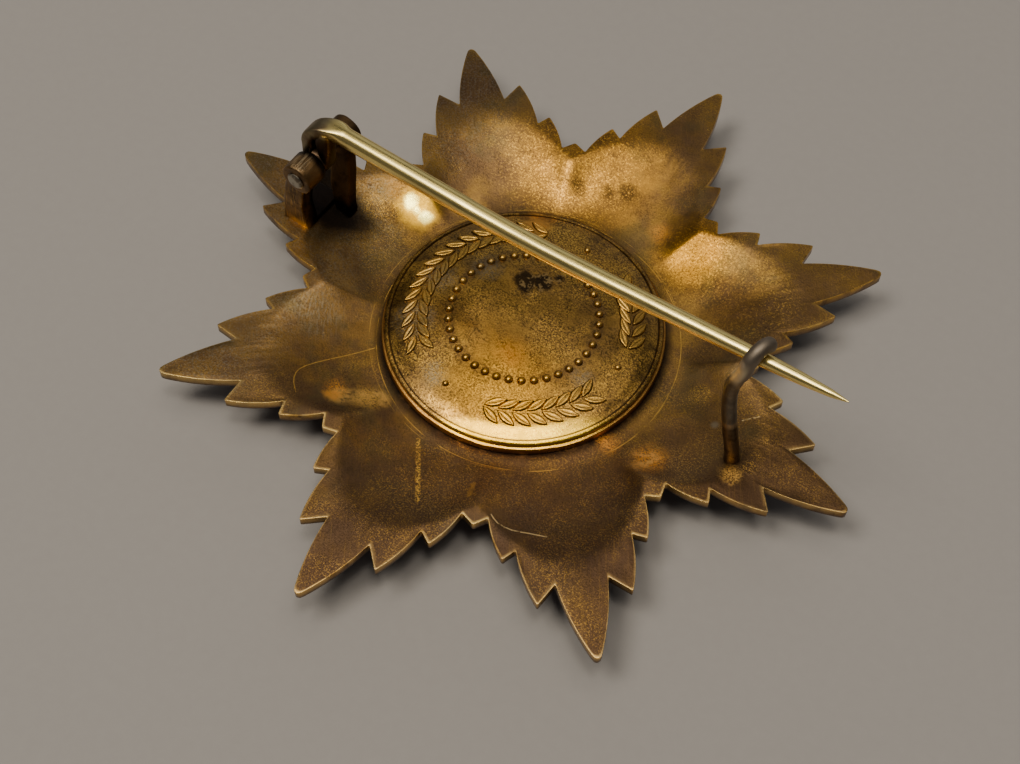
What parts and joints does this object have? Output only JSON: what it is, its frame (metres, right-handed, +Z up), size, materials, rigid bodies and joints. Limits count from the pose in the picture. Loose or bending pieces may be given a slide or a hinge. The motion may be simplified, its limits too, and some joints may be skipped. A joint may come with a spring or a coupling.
{
  "type": "order brooch",
  "caption": "Eight-pointed breast star lying face down, with a round back plate, a beaded ring, and a long hinged pin held by a wire catch.",
  "frame": {"origin": "The middle of the star at the level of the surface that it lies on, face down.", "axes": "+Z points up, out of the pin side. +X runs along the pin from its hinge to its catch. +Y is to the left of that direction."},
  "size_m": [0.074, 0.074, 0.0239],
  "materials": {
    "gilt_bronze": "cast and gilt bronze, tarnished brown, rubbed bright on its rims",
    "gilt_plate": "satin gilt bronze with brown patina",
    "steel_rivet": "dull grey, hammered ends",
    "nickel_brass": "pale nickel brass, brushed along its length"
  },
  "bodies": {
    "star": {"star_body": "gilt_bronze", "back_plate": "gilt_plate", "hinge_rivet": "steel_rivet"},
    "pin": {"pin_needle": "nickel_brass"}
  },
  "joints": [
    {"name": "pin_swing", "type": "hinge", "parent": "star", "child": "pin", "pos_m": [-0.02505, 0, 0.0145], "axis": [0, -1, 0], "range_deg": [0, 100]}
  ]
}
